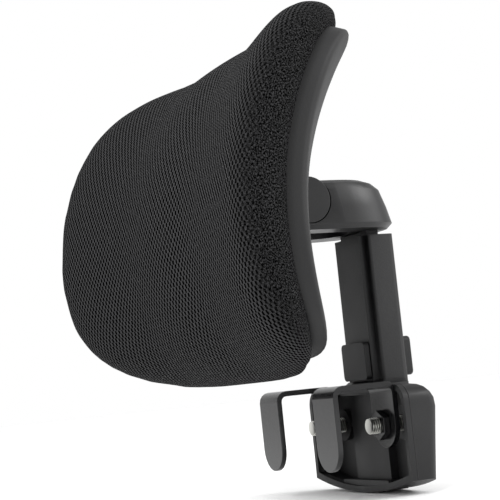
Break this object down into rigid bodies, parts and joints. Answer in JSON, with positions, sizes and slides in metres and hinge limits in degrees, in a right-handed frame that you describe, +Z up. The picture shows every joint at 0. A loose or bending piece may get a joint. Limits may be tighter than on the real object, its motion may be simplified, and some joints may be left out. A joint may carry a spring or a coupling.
{
  "type": "chair headrest attachment",
  "caption": "Clamp-on office chair headrest: two hooks and screws clamp it to the chair back, a sliding mast sets its height and the padded headrest tilts on a yoke.",
  "frame": {"origin": "midway between the two hooks, on the line of their seats on the chair back's top edge", "axes": "+X to the sitter's left, -Y towards the sitter, +Z up along the post"},
  "size_m": [0.2756, 0.1412, 0.2293],
  "materials": {
    "black_plastic": "spark-textured moulded black plastic",
    "black_steel": "semi-gloss black painted steel",
    "zinc_steel": "bright zinc plating",
    "spring_steel": "plain spring steel",
    "mesh_fabric": "black three-layer air mesh",
    "foam": "open-cell polyurethane foam"
  },
  "bodies": {
    "clamp": {"clamp_body": "black_plastic", "screw_washer_left": "zinc_steel", "screw_washer_right": "zinc_steel"},
    "hook_left": {"hook_left": "black_steel", "clamp_nut_left": "black_steel"},
    "hook_right": {"hook_right": "black_steel", "clamp_nut_right": "black_steel"},
    "screw_left": {"clamp_screw_left": "zinc_steel"},
    "screw_right": {"clamp_screw_right": "zinc_steel"},
    "lock": {"lock_slider": "black_plastic", "release_button": "black_plastic", "lock_spring": "spring_steel"},
    "mast": {"mast": "black_plastic", "yoke": "black_plastic", "mast_screw_left": "black_steel", "mast_screw_right": "black_steel"},
    "headrest": {"axle_nut": "zinc_steel", "back_shell": "black_plastic", "board_screw_lower_left": "black_steel", "board_screw_lower_right": "black_steel", "board_screw_upper_left": "black_steel", "board_screw_upper_right": "black_steel", "bracket_screw_lower_left": "black_steel", "bracket_screw_lower_right": "black_steel", "bracket_screw_upper_left": "black_steel", "bracket_screw_upper_right": "black_steel", "cushion_board": "black_plastic", "fabric_cover": "mesh_fabric", "foam_core": "foam", "friction_washer_inner_left": "spring_steel", "friction_washer_inner_right": "spring_steel", "friction_washer_outer_left": "spring_steel", "friction_washer_outer_right": "spring_steel", "hinge_axle": "zinc_steel", "hinge_bracket": "black_plastic", "hinge_cap_left": "black_plastic", "hinge_cap_right": "black_plastic"}
  },
  "joints": [
    {"name": "screw_left_turn", "type": "hinge", "parent": "clamp", "child": "screw_left", "pos_m": [0.0315, 0.0345, -0.0186], "axis": [0, -1, 0], "range_deg": [-1450, 2000]},
    {"name": "hook_left_slide", "type": "slide", "parent": "clamp", "child": "hook_left", "axis": [0, 1, 0], "range_m": [-0.005, 0.00688]},
    {"name": "screw_right_turn", "type": "hinge", "parent": "clamp", "child": "screw_right", "pos_m": [-0.0315, 0.0345, -0.0186], "axis": [0, -1, 0], "range_deg": [-1450, 2000]},
    {"name": "hook_right_slide", "type": "slide", "parent": "clamp", "child": "hook_right", "axis": [0, 1, 0], "range_m": [-0.005, 0.00688]},
    {"name": "lock_press", "type": "slide", "parent": "clamp", "child": "lock", "axis": [0, -1, 0], "range_m": [0, 0.0025], "stiffness_N_per_m": 900, "springref_m": -0.002, "deforming": ["lock_spring"]},
    {"name": "mast_slide", "type": "slide", "parent": "clamp", "child": "mast", "axis": [0, 0, 1], "range_m": [0, 0.045]},
    {"name": "headrest_tilt", "type": "hinge", "parent": "mast", "child": "headrest", "pos_m": [0, -0.013, 0.096], "axis": [1, 0, 0], "range_deg": [-25, 18]}
  ],
  "couplings": [
    {"joint": "screw_left_turn", "follows": "hook_left_slide", "rad_per_m": 5026.5},
    {"joint": "screw_right_turn", "follows": "hook_right_slide", "rad_per_m": 5026.5}
  ]
}
